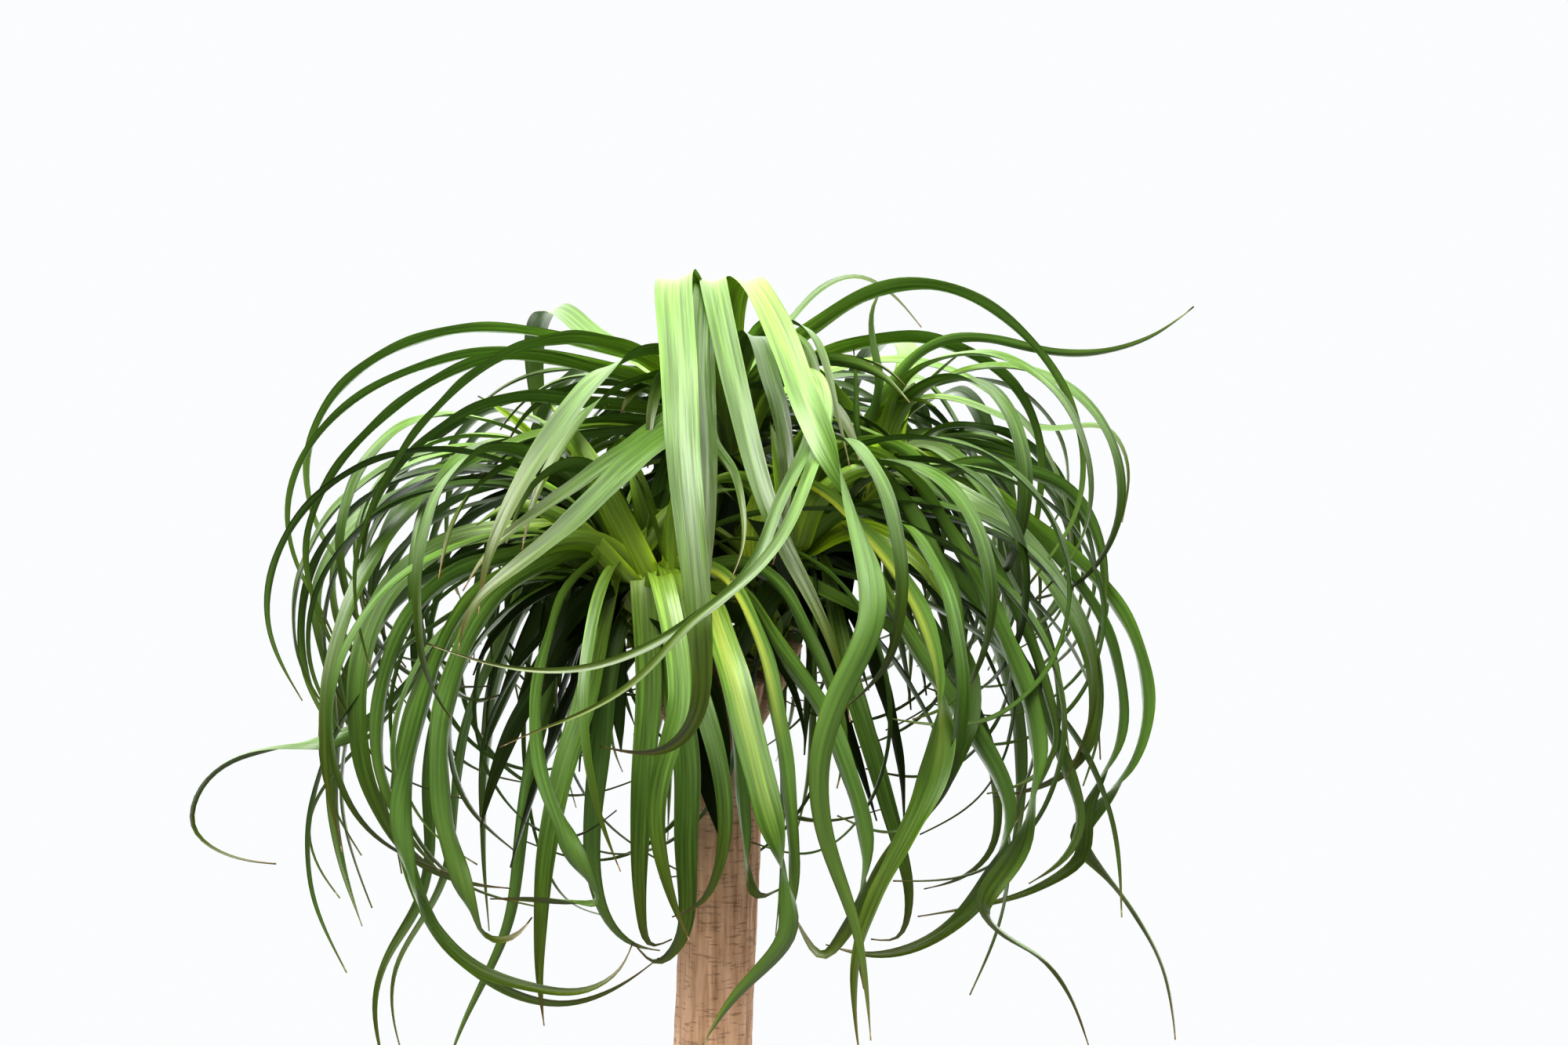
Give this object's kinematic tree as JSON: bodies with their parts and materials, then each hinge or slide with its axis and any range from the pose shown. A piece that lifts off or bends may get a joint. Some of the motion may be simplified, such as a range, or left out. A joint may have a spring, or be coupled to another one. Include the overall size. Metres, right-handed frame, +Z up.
{
  "type": "potted ponytail palm",
  "caption": "Potted ponytail palm: a woody trunk with a swollen foot in a plain round pot of soil, under a crown of long strap leaves that arch over and curl in.",
  "frame": {"origin": "centre of the pot's underside", "axes": "+Z up along the trunk, -Y towards the eye of the picture, +X to its right"},
  "size_m": [0.7007, 0.551, 1.0654],
  "materials": {
    "pot_clay": "matt unglazed fired clay",
    "soil": "matt crumbly potting soil",
    "bark": "matt corky bark with fine upright streaks",
    "leaf": "satin, finely ribbed green leaf"
  },
  "bodies": {
    "root": {"pot": "pot_clay", "soil": "soil", "trunk": "bark", "head_top": "leaf", "head_front_left": "leaf", "head_front_right": "leaf", "head_right": "leaf", "head_left": "leaf"}
  },
  "joints": []
}
